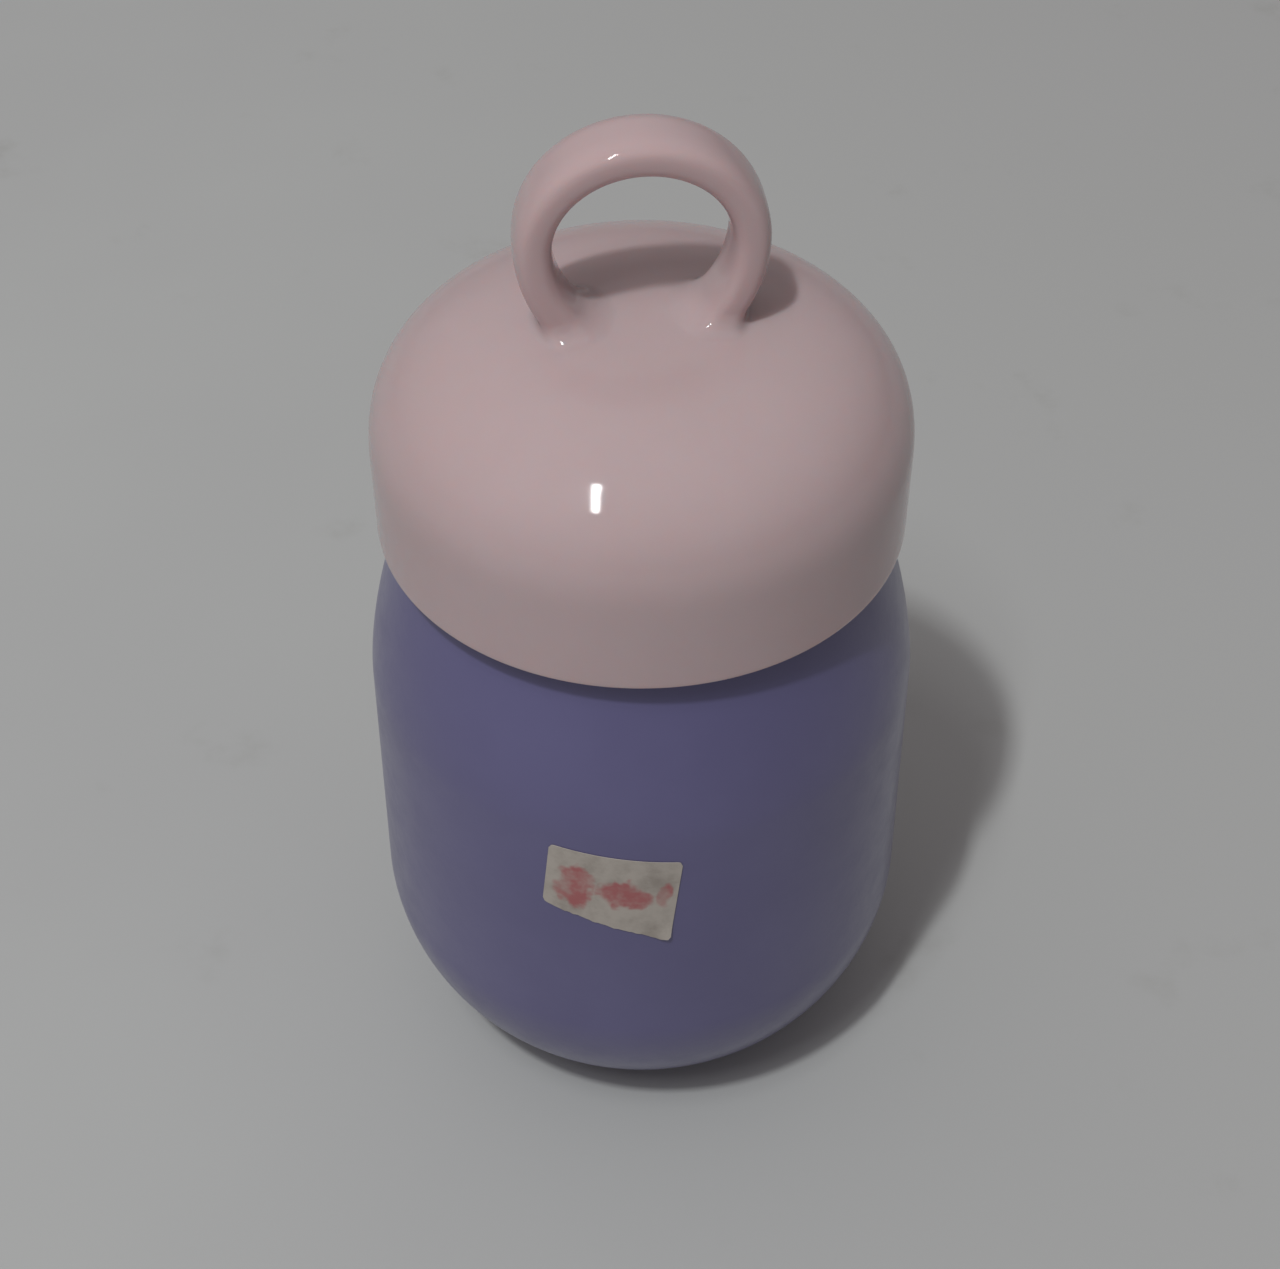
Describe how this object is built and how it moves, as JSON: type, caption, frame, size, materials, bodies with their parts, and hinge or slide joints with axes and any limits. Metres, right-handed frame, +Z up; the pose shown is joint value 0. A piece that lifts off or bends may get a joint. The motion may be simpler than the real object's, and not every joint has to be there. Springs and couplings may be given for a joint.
{
  "type": "insulated flask",
  "caption": "Small double-walled steel flask with a rounded base and a domed screw-on plastic lid that carries a finger loop.",
  "frame": {"origin": "centre of the base on the flask's axis, in the plane that it stands on", "axes": "+Z up along the flask's axis; +X along the plane of the finger loop; the label faces -Y"},
  "size_m": [0.0776, 0.0779, 0.1526],
  "materials": {
    "lilac_coat": "smooth satin lilac coating over steel",
    "bare_steel": "spun and brushed stainless steel",
    "solder_glass": "dark glassy solder",
    "getter_metal": "dull sintered metal",
    "pad_rubber": "matte soft rubber",
    "label_paper": "uncoated cream paper with worn red print",
    "pink_plastic": "glossy moulded pale pink plastic",
    "white_plastic": "smooth moulded off-white plastic",
    "foam": "closed-cell insulating foam",
    "silicone": "translucent white silicone"
  },
  "bodies": {
    "flask": {"outer_shell": "lilac_coat", "inner_liner": "bare_steel", "neck_ring": "bare_steel", "base_plate": "bare_steel", "vacuum_seal_bead": "solder_glass", "vacuum_getter": "getter_metal", "base_pad": "pad_rubber", "price_label": "label_paper"},
    "seal": {"lid_gasket": "silicone"},
    "lid": {"lid_cap": "pink_plastic", "lid_cup": "white_plastic", "lid_foam": "foam"}
  },
  "joints": [
    {"name": "lid_rise", "type": "slide", "parent": "flask", "child": "seal", "axis": [0, 0, 1], "range_m": [0, 0.0181]},
    {"name": "lid_turn", "type": "hinge", "parent": "seal", "child": "lid", "pos_m": [0, 0, 0.0931], "axis": [0, 0, 1], "range_deg": [0, 810]}
  ],
  "couplings": [
    {"joint": "lid_rise", "follows": "lid_turn", "m_per_rad": 0.0012732}
  ]
}
